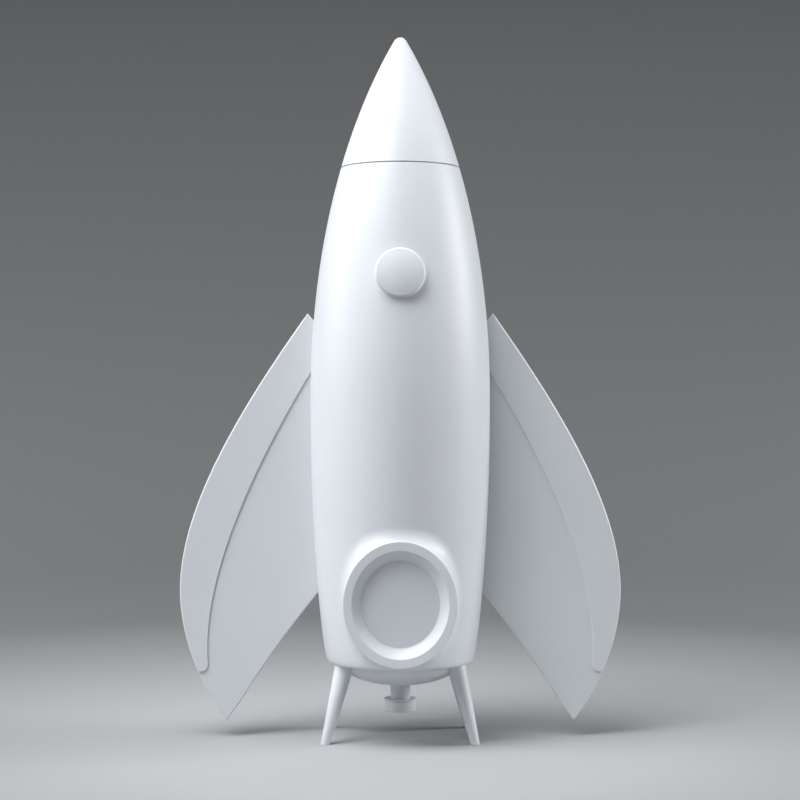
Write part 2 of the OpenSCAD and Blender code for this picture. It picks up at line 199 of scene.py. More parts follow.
skin, skin_in, skin_out = node_group(
    "plastic_skin",
    [("Peel Scale", 900.0), ("Peel Depth", 0.06), ("Gloss Low", 0.3), ("Gloss High", 0.36)],
    [("Shade", "NodeSocketFloat"), ("Roughness", "NodeSocketFloat"), ("Normal", "NodeSocketVector")])
skin_place = skin.nodes.new("ShaderNodeTexCoord")
peel = noise_node(skin, 900, 2)
cloud = noise_node(skin, 28, 4)
shade = range_node(skin, 0.3, 0.7, 0.0, 1.0)
gloss = skin.nodes.new("ShaderNodeMapRange")
bump = skin.nodes.new("ShaderNodeBump")
bump.inputs["Distance"].default_value = 0.00006
wire(skin,
     (skin_place.outputs["Object"], peel.inputs["Vector"]),
     (skin_place.outputs["Object"], cloud.inputs["Vector"]),
     (skin_in.outputs["Peel Scale"], peel.inputs["Scale"]),
     (cloud.outputs["Fac"], shade.inputs["Value"]),
     (shade.outputs["Result"], skin_out.inputs["Shade"]),
     (cloud.outputs["Fac"], gloss.inputs["Value"]),
     (skin_in.outputs["Gloss Low"], gloss.inputs["To Min"]),
     (skin_in.outputs["Gloss High"], gloss.inputs["To Max"]),
     (gloss.outputs["Result"], skin_out.inputs["Roughness"]),
     (peel.outputs["Fac"], bump.inputs["Height"]),
     (skin_in.outputs["Peel Depth"], bump.inputs["Strength"]),
     (bump.outputs["Normal"], skin_out.inputs["Normal"]))
gloss.inputs["From Min"].default_value = 0.3
gloss.inputs["From Max"].default_value = 0.7


def plastic(name, light, dark, gloss_low, gloss_high, peel_scale=900, peel_depth=0.06):
    """Moulded plastic between two close colours, with the shared skin."""
    made, shader = plain_material(name, light, gloss_low)
    tree = made.node_tree
    layer = tree.nodes.new("ShaderNodeGroup")
    layer.node_tree = skin
    layer.inputs["Peel Scale"].default_value = peel_scale
    layer.inputs["Peel Depth"].default_value = peel_depth
    layer.inputs["Gloss Low"].default_value = gloss_low
    layer.inputs["Gloss High"].default_value = gloss_high
    tint = tree.nodes.new("ShaderNodeMix")
    tint.data_type = "RGBA"
    tint.inputs["A"].default_value = (*dark, 1)
    tint.inputs["B"].default_value = (*light, 1)
    wire(tree,
         (layer.outputs["Shade"], tint.inputs["Factor"]),
         (tint.outputs["Result"], shader.inputs["Base Color"]),
         (layer.outputs["Roughness"], shader.inputs["Roughness"]),
         (layer.outputs["Normal"], shader.inputs["Normal"]))
    return made


white_plastic = plastic("white_satin_plastic", (0.64, 0.667, 0.698), (0.628, 0.655, 0.688), 0.43, 0.48)


def smooth_piece(name, mesh, body, slot, material, *nodes, angle=32):
    """A finished mesh as a piece of the rocket: smooth but for its sharp edges, riding on a body."""
    mesh.name = name
    mesh.shade_smooth()
    mesh.set_sharp_from_angle(angle=math.radians(angle))
    mesh.materials.clear()
    mesh.materials.append(material)
    piece = bpy.data.objects.new(name, mesh)
    scene.collection.objects.link(piece)
    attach(piece, body)
    if nodes:
        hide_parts(*nodes)
    return piece


def node_finish(material, *names):
    """Gives CAD nodes whose shape is right a finish of their own."""
    for name in names:
        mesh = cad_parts[name].data
        mesh.materials.clear()
        mesh.materials.append(material)


def ring_line(inner, outer, low, high, edge):
    """Outline of a ring, as (radius, height) points from inside round to the start, with small chamfers."""
    return [(inner, low + edge), (inner + edge, low), (outer - edge, low), (outer, low + edge),
            (outer, high - edge), (outer - edge, high), (inner + edge, high), (inner, high - edge),
            (inner, low + edge)]


def radii(node):
    """Smallest and largest distance of a node's mesh from the rocket's axis."""
    reach = [v.co.xy.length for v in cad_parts[node].data.vertices]
    return min(reach), max(reach)


# ---------------------------------------------------------------------------
# Motor: a rolled kraft paper casing with a pressed clay nozzle, a black powder
# grain, the grey delay charge and the clay cap that the ejection charge blows.
def paper_tube(name, light, dark, band_width, seam_depth):
    """Paper wound in a spiral: fibres, and the faint step where each turn of the strip ends."""
    made, shader = plain_material(name, light, 0.8)
    tree = made.node_tree
    place = tree.nodes.new("ShaderNodeTexCoord")
    split = tree.nodes.new("ShaderNodeSeparateXYZ")
    around = tree.nodes.new("ShaderNodeMath")
    around.operation = "ARCTAN2"
    turn = tree.nodes.new("ShaderNodeMath")
    turn.operation = "MULTIPLY"
    turn.inputs[1].default_value = band_width / math.tau
    climb = tree.nodes.new("ShaderNodeMath")
    climb.operation = "ADD"
    strip = tree.nodes.new("ShaderNodeMath")
    strip.operation = "PINGPONG"
    strip.inputs[1].default_value = band_width / 2
    step = range_node(tree, 0.0, band_width * 0.03, 0.0, 1.0)
    fibre = noise_node(tree, 700, 5)
    stretch = tree.nodes.new("ShaderNodeMapping")
    stretch.inputs["Scale"].default_value = (1, 1, 0.2)
    tint = tree.nodes.new("ShaderNodeMix")
    tint.data_type = "RGBA"
    tint.inputs["A"].default_value = (*dark, 1)
    tint.inputs["B"].default_value = (*light, 1)
    relief = tree.nodes.new("ShaderNodeBump")
    relief.inputs["Distance"].default_value = seam_depth
    relief.inputs["Strength"].default_value = 0.6
    grain = tree.nodes.new("ShaderNodeBump")
    grain.inputs["Distance"].default_value = 0.00004
    grain.inputs["Strength"].default_value = 0.5
    wire(tree,
         (place.outputs["Object"], split.inputs["Vector"]),
         (split.outputs["Y"], around.inputs[0]),
         (split.outputs["X"], around.inputs[1]),
         (around.outputs["Value"], turn.inputs[0]),
         (turn.outputs["Value"], climb.inputs[0]),
         (split.outputs["Z"], climb.inputs[1]),
         (climb.outputs["Value"], strip.inputs[0]),
         (strip.outputs["Value"], step.inputs["Value"]),
         (place.outputs["Object"], stretch.inputs["Vector"]),
         (stretch.outputs["Vector"], fibre.inputs["Vector"]),
         (fibre.outputs["Fac"], tint.inputs["Factor"]),
         (tint.outputs["Result"], shader.inputs["Base Color"]),
         (step.outputs["Result"], relief.inputs["Height"]),
         (fibre.outputs["Fac"], grain.inputs["Height"]),
         (grain.outputs["Normal"], relief.inputs["Normal"]),
         (relief.outputs["Normal"], shader.inputs["Normal"]))
    return made


def pressed_powder(name, light, dark, scale, depth):
    """Powder or clay pressed in a die: fine matt grains of two shades."""
    made, shader = plain_material(name, light, 0.9)
    tree = made.node_tree
    place = tree.nodes.new("ShaderNodeTexCoord")
    grains = noise_node(tree, scale, 6)
    tint = tree.nodes.new("ShaderNodeMix")
    tint.data_type = "RGBA"
    tint.inputs["A"].default_value = (*dark, 1)
    tint.inputs["B"].default_value = (*light, 1)
    relief = tree.nodes.new("ShaderNodeBump")
    relief.inputs["Distance"].default_value = depth
    relief.inputs["Strength"].default_value = 0.7
    wire(tree,
         (place.outputs["Object"], grains.inputs["Vector"]),
         (grains.outputs["Fac"], tint.inputs["Factor"]),
         (tint.outputs["Result"], shader.inputs["Base Color"]),
         (grains.outputs["Fac"], relief.inputs["Height"]),
         (relief.outputs["Normal"], shader.inputs["Normal"]))
    return made


motor_paper = paper_tube("motor_casing_paper", (0.55, 0.40, 0.24), (0.42, 0.29, 0.17), 0.02, 0.00005)
pressed_clay = pressed_powder("pressed_clay", (0.50, 0.47, 0.43), (0.36, 0.34, 0.31), 1200, 0.00006)
black_powder = pressed_powder("black_powder", (0.03, 0.03, 0.03), (0.012, 0.012, 0.012), 2000, 0.00005)
delay_powder = pressed_powder("delay_powder", (0.16, 0.15, 0.14), (0.09, 0.09, 0.085), 1800, 0.00005)
node_finish(motor_paper, "motor_casing")
node_finish(pressed_clay, "motor_nozzle", "ejection_cap")
node_finish(black_powder, "propellant_grain")
node_finish(delay_powder, "delay_charge")


# ---------------------------------------------------------------------------
# Motor mount: the white sprayed tube that shows under the tail, the threaded
# collar glued on its end, and the paper thrust ring and board rings inside.
mount_paint = plastic("sprayed_mount_tube", (0.60, 0.62, 0.645), (0.57, 0.59, 0.615), 0.36, 0.44, 1400, 0.12)
tube_low, tube_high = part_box("motor_tube")
tube_bore, tube_r = radii("motor_tube")
smooth_piece(
    "motor_tube_sprayed",
    turned_mesh("motor_tube_sprayed", ring_line(tube_bore, tube_r, tube_low.z, tube_high.z, 0.00015), 96),
    "airframe", "white_shell", mount_paint, "motor_tube")

collar_low, collar_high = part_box("retainer_collar")
collar_bore, flange_r = radii("retainer_collar")
thread_r = 0.0094
FLANGE_T = 0.0012
THREAD_PITCH = 0.0015
THREAD_DEPTH = 0.0004
collar_line = [(collar_bore, collar_low.z), (thread_r - THREAD_DEPTH, collar_low.z)]
thread_z = collar_low.z + 0.0004
while thread_z + THREAD_PITCH < collar_high.z - FLANGE_T:
    collar_line += [(thread_r - THREAD_DEPTH, thread_z), (thread_r, thread_z + 0.45 * THREAD_PITCH),
                    (thread_r, thread_z + 0.6 * THREAD_PITCH)]
    thread_z += THREAD_PITCH
collar_line += [(thread_r - THREAD_DEPTH, thread_z), (thread_r - THREAD_DEPTH, collar_high.z - FLANGE_T),
                (flange_r - 0.0002, collar_high.z - FLANGE_T), (flange_r, collar_high.z - FLANGE_T + 0.0002),
                (flange_r, collar_high.z - 0.0003), (flange_r - 0.0003, collar_high.z),
                (collar_bore, collar_high.z), (collar_bore, collar_low.z)]
smooth_piece("retainer_collar_threaded", turned_mesh("retainer_collar_threaded", collar_line, 128),
             "airframe", "white_shell", mount_paint, "retainer_collar")

fibre_board = pressed_powder("pressed_fibre_board", (0.52, 0.41, 0.28), (0.40, 0.30, 0.20), 420, 0.00012)
kraft = paper_tube("kraft_tube_paper", (0.56, 0.43, 0.28), (0.45, 0.33, 0.21), 0.045, 0.00008)
node_finish(kraft, "thrust_ring")
node_finish(fibre_board, "motor_ring_upper", "motor_ring_lower")


# ---------------------------------------------------------------------------
# Core of the airframe: a long spiral-wound paper tube in three pressed board
# rings, with a bright wire eye screwed into the forward ring for the cord.
node_finish(kraft, "stuffer_tube")
node_finish(fibre_board, "forward_ring", "middle_ring", "rear_ring")


def bright_wire(name, colour, roughness):
    """Zinc-plated wire with fine drawing marks and duller patches."""
    made, shader = plain_material(name, colour, roughness)
    shader.inputs["Metallic"].default_value = 1.0
    tree = made.node_tree
    place = tree.nodes.new("ShaderNodeTexCoord")
    dull = noise_node(tree, 350, 4)
    rough = range_node(tree, 0.3, 0.7, roughness, roughness + 0.18)
    relief = tree.nodes.new("ShaderNodeBump")
    relief.inputs["Distance"].default_value = 0.00002
    relief.inputs["Strength"].default_value = 0.4
    wire(tree,
         (place.outputs["Object"], dull.inputs["Vector"]),
         (dull.outputs["Fac"], rough.inputs["Value"]),
         (rough.outputs["Result"], shader.inputs["Roughness"]),
         (dull.outputs["Fac"], relief.inputs["Height"]),
         (relief.outputs["Normal"], shader.inputs["Normal"]))
    return made


zinc_wire = bright_wire("zinc_wire", (0.62, 0.63, 0.65), 0.24)
EYE_WIRE = 0.0009


def screw_eye(name, body, node, up):
    """A screw eye where the CAD node stands: a bent wire ring, a collar and a threaded shank."""
    low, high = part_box(node)
    place = Vector(((low.x + high.x) / 2, 0, low.z if up < 0 else high.z))
    ring_r = (high.x - low.x) / 2 - EYE_WIRE
    bm = bmesh.new()
    section = bmesh.ops.create_circle(bm, segments=20, radius=EYE_WIRE)["verts"]
    bmesh.ops.rotate(bm, verts=section, cent=(0, 0, 0), matrix=Matrix.Rotation(math.pi / 2, 3, "Z"))
    bmesh.ops.translate(bm, verts=section, vec=(ring_r, 0, 0))
    bmesh.ops.spin(bm, geom=bm.verts[:] + bm.edges[:], cent=(0, 0, 0), axis=(0, 1, 0), angle=math.tau,
                   steps=56, use_merge=True, use_duplicate=False)
    bmesh.ops.remove_doubles(bm, verts=bm.verts, dist=1e-7)
    centre_z = -up * (ring_r + EYE_WIRE)
    bmesh.ops.translate(bm, verts=bm.verts, vec=(0, 0, centre_z))
    shank_l = (high.z - low.z) - 2 * (ring_r + EYE_WIRE)
    shank_r = EYE_WIRE * 0.8
    shank = [(0.0, 0.0), (shank_r, 0.0)]
    pitch = 0.0009
    turns = int(shank_l / pitch) - 1
    for i in range(1, turns):
        shank += [(shank_r * 0.8, i * pitch), (shank_r, (i + 0.5) * pitch)]
    shank += [(shank_r * 0.8, turns * pitch), (0.0, shank_l)]
    shank_mesh = turned_mesh(name + "_shank", shank, 24)
    shank_mesh.transform(Matrix.Translation((0, 0, centre_z * 2)) @ Matrix.Diagonal((1, 1, -up, 1)))
    bm.from_mesh(shank_mesh)
    bpy.data.meshes.remove(shank_mesh)
    bmesh.ops.translate(bm, verts=bm.verts, vec=place)
    bmesh.ops.recalc_face_normals(bm, faces=bm.faces)
    mesh = bpy.data.meshes.new(name)
    bm.to_mesh(mesh)
    bm.free()
    return smooth_piece(name, mesh, body, "steel_wire", zinc_wire, node, angle=50)


screw_eye("recovery_screw_eye", "airframe", "recovery_anchor", 1)


# ---------------------------------------------------------------------------
# Wadding: a loose plug of crumpled flameproof tissue that shields the canopy
# from the ejection charge.
wad_low, wad_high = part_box("wadding")
wad_r = (wad_high.x - wad_low.x) / 2
bm = bmesh.new()
bmesh.ops.create_icosphere(bm, subdivisions=5, radius=1.0)
for v in bm.verts:
    crease = noise.turbulence(v.co * 2.6, 4, True)
    v.co *= 0.86 + 0.11 * crease
    side = max(v.co.xy.length, 1e-6)
    v.co.x *= wad_r * min(1.25, 0.97 / side)
    v.co.y *= wad_r * min(1.25, 0.97 / side)
    v.co.z *= (wad_high.z - wad_low.z) / 2 * 0.98
bmesh.ops.translate(bm, verts=bm.verts, vec=(0, 0, (wad_low.z + wad_high.z) / 2))
mesh = bpy.data.meshes.new("wadding_tissue")
bm.to_mesh(mesh)
bm.free()
tissue = pressed_powder("crumpled_tissue", (0.78, 0.75, 0.66), (0.70, 0.67, 0.58), 260, 0.0002)
smooth_piece("wadding_tissue", mesh, "airframe", "wadding_paper", tissue, "wadding", angle=60)


# ---------------------------------------------------------------------------
# Parachute: a hexagon of thin ripstop nylon, gathered to a strip as wide as the
# pack is long and rolled up on itself like a bandage.
CANOPY_ACROSS = 0.3
ROLL_STEPS = 72
chute_low, chute_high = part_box("parachute_pack")
roll_l = chute_high.z - chute_low.z - 0.002
roll_r = (chute_high.x - chute_low.x) / 2 - 0.0006
core_r = 0.0022
canopy_area = 0.866 * CANOPY_ACROSS ** 2
roll_pitch = math.pi * (roll_r ** 2 - core_r ** 2) * roll_l / canopy_area
roll_turns = (roll_r - core_r) / roll_pitch
bm = bmesh.new()
strip_rows = 10
roll_foot = chute_low.z + 0.001
strip = [bm.verts.new((core_r, 0, roll_foot + roll_l * i / strip_rows)) for i in range(strip_rows + 1)]
edge = strip + [bm.edges.new(pair) for pair in zip(strip, strip[1:])]
roll_count = int(roll_turns * ROLL_STEPS)
for step in range(1, roll_count + 1):
    free_edges = [e for e in edge if isinstance(e, bmesh.types.BMEdge)]
    grown = bmesh.ops.extrude_edge_only(bm, edges=free_edges)["geom"]
    edge = [g for g in grown if not isinstance(g, bmesh.types.BMFace)]
    angle = math.tau * step / ROLL_STEPS
    reach = core_r + roll_pitch * step / ROLL_STEPS
    row = sorted((g for g in edge if isinstance(g, bmesh.types.BMVert)), key=lambda v: v.co.z)
    for i, v in enumerate(row):
        share = i / strip_rows
        spot = Vector((math.cos(angle) * 1.7, math.sin(angle) * 1.7, step / ROLL_STEPS * 0.9 + share))
        wave = noise.noise(spot)
        hem = noise.noise(Vector((angle * 0.9, 4.0, 0.0))) * 0.0016 * abs(2 * share - 1) ** 3
        r = reach + wave * roll_pitch * 0.28
        v.co = (r * math.cos(angle), r * math.sin(angle), roll_foot + roll_l * share - abs(hem))
bmesh.ops.recalc_face_normals(bm, faces=bm.faces)
mesh = bpy.data.meshes.new("parachute_roll")
bm.to_mesh(mesh)
bm.free()

ripstop, ripstop_shader = plain_material("ripstop_nylon", (0.72, 0.20, 0.05), 0.55)
ripstop_shader.inputs["Sheen Weight"].default_value = 0.25
tree = ripstop.node_tree
place = tree.nodes.new("ShaderNodeTexCoord")
fold_relief_and_painted_shade = noise_node(tree, 160, 4)
weave = noise_node(tree, 2600, 1)
# The same fold noise darkens the nylon in the fold hollows: painted shade, along with the fold relief.
tint = tree.nodes.new("ShaderNodeMix")
tint.data_type = "RGBA"
tint.inputs["A"].default_value = (0.60, 0.15, 0.035, 1)
tint.inputs["B"].default_value = (0.78, 0.24, 0.07, 1)
fold_bump = tree.nodes.new("ShaderNodeBump")
fold_bump.inputs["Distance"].default_value = 0.0003
weave_bump = tree.nodes.new("ShaderNodeBump")
weave_bump.inputs["Distance"].default_value = 0.00005
wire(tree,
     (place.outputs["Object"], fold_relief_and_painted_shade.inputs["Vector"]),
     (place.outputs["Object"], weave.inputs["Vector"]),
     (fold_relief_and_painted_shade.outputs["Fac"], tint.inputs["Factor"]),
     (tint.outputs["Result"], ripstop_shader.inputs["Base Color"]),
     (fold_relief_and_painted_shade.outputs["Fac"], fold_bump.inputs["Height"]),
     (weave.outputs["Fac"], weave_bump.inputs["Height"]),
     (fold_bump.outputs["Normal"], weave_bump.inputs["Normal"]),
     (weave_bump.outputs["Normal"], ripstop_shader.inputs["Normal"]))
canopy = smooth_piece("parachute_roll", mesh, "parachute", "canopy_nylon", ripstop, "parachute_pack",
                      angle=80)


# ---------------------------------------------------------------------------
# Neck socket: a moulded ring glued in the top of the hull, bored for the nose's
# shoulder to slide in.
raw_plastic = plastic("raw_moulded_plastic", (0.70, 0.71, 0.72), (0.66, 0.67, 0.68), 0.45, 0.55, 500, 0.1)
node_finish(raw_plastic, "neck_ring")


# ---------------------------------------------------------------------------
# Hull: one hollow blow-moulded shell, fair from the round lower edge to the
# neck, trimmed for the portholes; it is not slotted for the fins' tabs here.
def curve_points(start, first, second, end, count):
    """Points along a cubic curve, each given as (distance from the axis, height)."""
    made = []
    for i in range(count + 1):
        t = i / count
        shares = ((1 - t) ** 3, 3 * t * (1 - t) ** 2, 3 * t * t * (1 - t), t ** 3)
        pulls = list(zip(shares, (start, first, second, end)))
        made.append(tuple(sum(share * p[k] for share, p in pulls) for k in (0, 1)))
    return made


hull_low, hull_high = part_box("fuselage_shell")
underside = hull_low.z
seam = hull_high.z
WALL = 0.0016
SEAM_EDGE = 0.0006
SEAM_DEPTH = 0.0012
BILGE_LINE = ((0.0494, 0.0530), (0.0514, 0.0534), (0.0519, 0.0564), (0.0526, 0.0600))
STERN_LINE = ((0.0526, 0.0600), (0.0564, 0.0820), (0.0628, 0.1500), (0.0628, 0.2350))
BOW_LINE = ((0.0628, 0.2350), (0.0628, 0.3648), (0.0277, 0.4465), (0.0042, 0.4865))
BILGE_STEPS = 12
side_line = curve_points(*BILGE_LINE, BILGE_STEPS)
side_line += curve_points(*STERN_LINE, 300)[1:]
side_line += curve_points(*BOW_LINE, 900)[1:]
side_heights = [z for _, z in side_line]


def hull_radius(z):
    """Radius of the rocket's outside at a height, between the lower edge and the tip."""
    above = min(max(bisect.bisect_left(side_heights, z), 1), len(side_line) - 1)
    (r0, z0), (r1, z1) = side_line[above - 1], side_line[above]
    return r0 + (r1 - r0) * min(max((z - z0) / (z1 - z0), 0.0), 1.0)


def side_points(low, high, step):
    """Evenly spaced (radius, height) points up the rocket's outside."""
    count = max(1, round((high - low) / step))
    heights = [low + (high - low) * i / count for i in range(count + 1)]
    return [(hull_radius(z), z) for z in heights]


def on_hull(point, inward):
    """Where a line from a point outside the hull, along a direction, first meets the hull."""
    near, far = 0.0, 0.06
    for _ in range(40):
        middle = (near + far) / 2
        q = point + inward * middle
        if q.xy.length > hull_radius(q.z):
            near = middle
        else:
            far = middle
    return point + inward * near


def without(mesh, *cutters):
    """The mesh with the cutters' solids taken out of it."""
    body = bpy.data.objects.new("being_cut", mesh)
    scene.collection.objects.link(body)
    tools = []
    for cutter in cutters:
        tool = bpy.data.objects.new("cutter", cutter)
        scene.collection.objects.link(tool)
        cut = body.modifiers.new("cut", "BOOLEAN")
        cut.operation = "DIFFERENCE"
        cut.solver = "EXACT"
        cut.object = tool
        tools.append(tool)
    result = bpy.data.meshes.new_from_object(body.evaluated_get(bpy.context.evaluated_depsgraph_get()))
    for item in [body, *tools]:
        bpy.data.objects.remove(item)
    return result


def drum_mesh(name, radius, low, high, steps):
    """A plain closed drum along the Z axis."""
    return turned_mesh(name, [(0, low), (radius, low), (radius, high), (0, high)], steps)


pane_low, pane_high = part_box("porthole_pane")
rim_out = -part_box("porthole_bezel")[0].y
PORT_CENTRE = Vector((0, 0, (pane_low.z + pane_high.z) / 2))
PORT_SQUEEZE = (pane_high.x - pane_low.x) / (pane_high.z - pane_low.z)
pane_r = (pane_high.z - pane_low.z) / 2
rim_r = pane_r + 0.0113
neck_r = rim_r - 0.0095
pane_out = -pane_low.y
port_frame = Matrix.Translation(PORT_CENTRE) @ Matrix.Rotation(math.pi / 2, 4, "X") @ Matrix.Diagonal(
    (PORT_SQUEEZE, 1, 1, 1))

BUTTON_Z = 0.321
BUTTON_H = 0.005
BUTTON_SHANK_R = 0.01
BUTTON_HOLE_R = 0.0101
button_low, button_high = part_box("button_porthole")
button_r = (button_high.x - button_low.x) / 2
lean = math.atan((hull_radius(BUTTON_Z - 0.01) - hull_radius(BUTTON_Z + 0.01)) / 0.02)
button_frame = Matrix.Translation((0, -hull_radius(BUTTON_Z), BUTTON_Z)) @ Matrix.Rotation(
    math.pi / 2 - lean, 4, "X")

FLOOR_HOLE_R = 0.034
CORNER_IN = 0.049
CORNER_OUT = 0.0502
CORNER_RISE = 0.002
top_r = hull_radius(seam)
outside = side_line[:BILGE_STEPS] + side_points(BILGE_LINE[3][1], seam - SEAM_EDGE, 0.003)
inside = [(r - WALL, z) for r, z in side_points(0.0625, seam, 0.009)]
floor_top = underside + WALL
hull_line = (
    [(FLOOR_HOLE_R, underside)] + outside + [(top_r - SEAM_DEPTH, seam)] + inside[::-1]
    + [(CORNER_OUT, floor_top + CORNER_RISE), (CORNER_IN, floor_top), (FLOOR_HOLE_R, floor_top),
       (FLOOR_HOLE_R, underside)])
port_cut = drum_mesh("port_cut", neck_r + 0.0001, 0.03, 0.08, 128)
port_cut.transform(port_frame)
button_cut = drum_mesh("button_cut", BUTTON_HOLE_R, -0.01, 0.01, 64)
button_cut.transform(button_frame)
hull_mesh = without(turned_mesh("hull", hull_line, 240), port_cut, button_cut)
smooth_piece("hull_moulding", hull_mesh, "airframe", "white_shell", white_plastic, "fuselage_shell")


# ---------------------------------------------------------------------------
# Tail: the shallow moulded dome that fairs the motor tube into the flat
# underside, and the board plate inside that the legs are glued into.
node_finish(fibre_board, "tail_plate")
dome_low, dome_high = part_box("tail_dome")
dome_r = (dome_high.x - dome_low.x) / 2
DOME_H = 0.0163
DOME_LAP = 0.0002
hole_r = tube_r + 0.00012
dome_edge = math.acos(hole_r / dome_r)
DOME_STEPS = 28
dome_line = [(dome_r, underside + DOME_LAP)]
for i in range(DOME_STEPS + 1):
    a = dome_edge * i / DOME_STEPS
    dome_line.append((dome_r * math.cos(a), underside - DOME_H * math.sin(a)))
for i in range(DOME_STEPS, -1, -1):
    a = math.acos(hole_r / (dome_r - WALL)) * i / DOME_STEPS
    dome_line.append(((dome_r - WALL) * math.cos(a), underside - (DOME_H - WALL) * math.sin(a)))
dome_line += [(dome_r - WALL, underside + DOME_LAP), dome_line[0]]
smooth_piece("tail_dome_moulding", turned_mesh("tail_dome_moulding", dome_line, 192), "airframe",
             "white_shell", white_plastic, "tail_dome")


# ---------------------------------------------------------------------------
# Landing legs: four solid tapered legs that splay out from the underside, each
# with a small chamfer round the sole.
FOOT_R = 0.0032
HIP_R = 0.0065
HIP = Vector((0.0386, 0.019))
FOOT = Vector((0.0513, 0.0316))
REAR_TURN = math.radians(3.5)
for fore, y, turn in (("front", -1, 0.0), ("rear", 1, REAR_TURN)):
    for side, x in (("left", -1), ("right", 1)):
        name = f"leg_{fore}_{side}"
        swing = Matrix.Rotation(turn, 2)
        foot, hip = swing @ FOOT, swing @ HIP
        bm = bmesh.new()
        bmesh.ops.create_cone(bm, cap_ends=True, segments=72, radius1=FOOT_R, radius2=HIP_R, depth=underside)
        rise_x = x * (hip.x - foot.x) / underside
        rise_y = y * (hip.y - foot.y) / underside
        lean_over = Matrix((
            (1, 0, rise_x, x * foot.x), (0, 1, rise_y, y * foot.y), (0, 0, 1, 0), (0, 0, 0, 1)))
        stand_up = Matrix.Translation((0, 0, underside / 2))
        bmesh.ops.transform(bm, verts=bm.verts, matrix=lean_over @ stand_up)
        sole = [e for e in bm.edges if max(v.co.z for v in e.verts) < 1e-6]
        bmesh.ops.bevel(bm, geom=sole, offset=0.0004, offset_type="OFFSET", affect="EDGES", segments=2,
                        profile=0.5, material=-1)
        mesh = bpy.data.meshes.new(name)
        bm.to_mesh(mesh)
        bm.free()
        smooth_piece(name + "_moulding", mesh, "airframe", "white_shell", white_plastic, name)


# ---------------------------------------------------------------------------
# Fins: flat plates with eased edges, set edge-on into the hull's sides, and the
# thin doublers glued to both faces along each leading edge.
def inset(points, distance):
    """A line of points moved to its right-hand side, seen along it."""
    made = []
    for i in range(len(points)):
        (x0, z0), (x1, z1) = points[max(i - 1, 0)], points[min(i + 1, len(points) - 1)]
        shift = distance / math.hypot(x1 - x0, z1 - z0)
        made.append((points[i][0] + shift * (z1 - z0), points[i][1] - shift * (x1 - x0)))
    return made


fin_low, fin_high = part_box("fin_right")
FIN_T = fin_high.y - fin_low.y
BAND_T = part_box("fin_right_band_rear")[1].y - fin_high.y
FIN_CORNER = (0.0649, 0.2960)
FIN_WIDEST = (fin_high.x, 0.1025)
FIN_TIP = (0.1215, 0.0113)
FIN_HEEL = (0.0578, 0.1003)
TAB_LOW = 0.125
TAB_HIGH = 0.196
TAB_END = 0.0212
BAND_FOOT = (0.1344, 0.0530)
BAND_END = 0.0455
upper_edge = curve_points(FIN_CORNER, (0.1147, 0.2260), (fin_high.x, 0.1585), FIN_WIDEST, 48)
lower_edge = curve_points(FIN_WIDEST, (fin_high.x, 0.0711), (0.1417, 0.0378), FIN_TIP, 28)
trailing_edge = curve_points(FIN_TIP, (0.1058, 0.0312), (0.0992, 0.0488), FIN_HEEL, 22)
root = [(r - 0.0006, z) for r, z in side_points(0.1015, 0.2902, 0.0105)]
tab = [(hull_radius(TAB_LOW) - WALL, TAB_LOW), (TAB_END, TAB_LOW), (TAB_END, TAB_HIGH),
       (hull_radius(TAB_HIGH) - WALL, TAB_HIGH)]
fin_outline = (upper_edge + lower_edge[1:] + trailing_edge[1:] + [p for p in root if p[1] < TAB_LOW] + tab
               + [p for p in root if p[1] > TAB_HIGH])
band_lead = [p for p in inset(upper_edge + lower_edge[1:], 0.0005) if p[1] > BAND_END + 0.0015]
band_outline = (
    [FIN_CORNER] + band_lead[1:] + [(0.1412, BAND_END)]
    + curve_points((0.1390, BAND_END), (0.1349, 0.0456), (0.1337, 0.0496), BAND_FOOT, 8)
    + curve_points(BAND_FOOT, (0.1377, 0.1029), (0.1127, 0.1722), (0.0620, 0.2556), 40)[1:]
    + [p for p in root if p[1] > 0.26])


def plate(name, outline, middle, thickness, side, ease):
    """A flat plate in the fin's plane, centred at a depth, with its edges eased all round."""
    bm = bmesh.new()
    rim = [bm.verts.new((side * x, middle - thickness / 2, z)) for x, z in outline]
    face = bm.faces.new(rim)
    grown = bmesh.ops.extrude_face_region(bm, geom=[face])["geom"]
    far_side = [g for g in grown if isinstance(g, bmesh.types.BMVert)]
    bmesh.ops.translate(bm, verts=far_side, vec=(0, thickness, 0))
    bmesh.ops.recalc_face_normals(bm, faces=bm.faces)
    corners = [e for e in bm.edges if abs(e.verts[0].co.y - e.verts[1].co.y) < 1e-7]
    bmesh.ops.bevel(bm, geom=corners, offset=ease, offset_type="OFFSET", affect="EDGES", segments=3,
                    profile=0.5, material=-1, clamp_overlap=True)
    mesh = bpy.data.meshes.new(name)
    bm.to_mesh(mesh)
    bm.free()
    return mesh


for side_name, side in (("left", -1), ("right", 1)):
    node = f"fin_{side_name}"
    fin_mesh = plate(node + "_plate", fin_outline, 0, FIN_T, side, 0.0009)
    smooth_piece(node + "_plate", fin_mesh, "airframe", "white_shell", white_plastic, node, angle=12)
    for face_name, face in (("front", -1), ("rear", 1)):
        band = f"{node}_band_{face_name}"
        band_mesh = plate(band, band_outline, face * (FIN_T + BAND_T) / 2, BAND_T, side, 0.00048)
        smooth_piece(band + "_doubler", band_mesh, "airframe", "white_shell", white_plastic, band, angle=12)


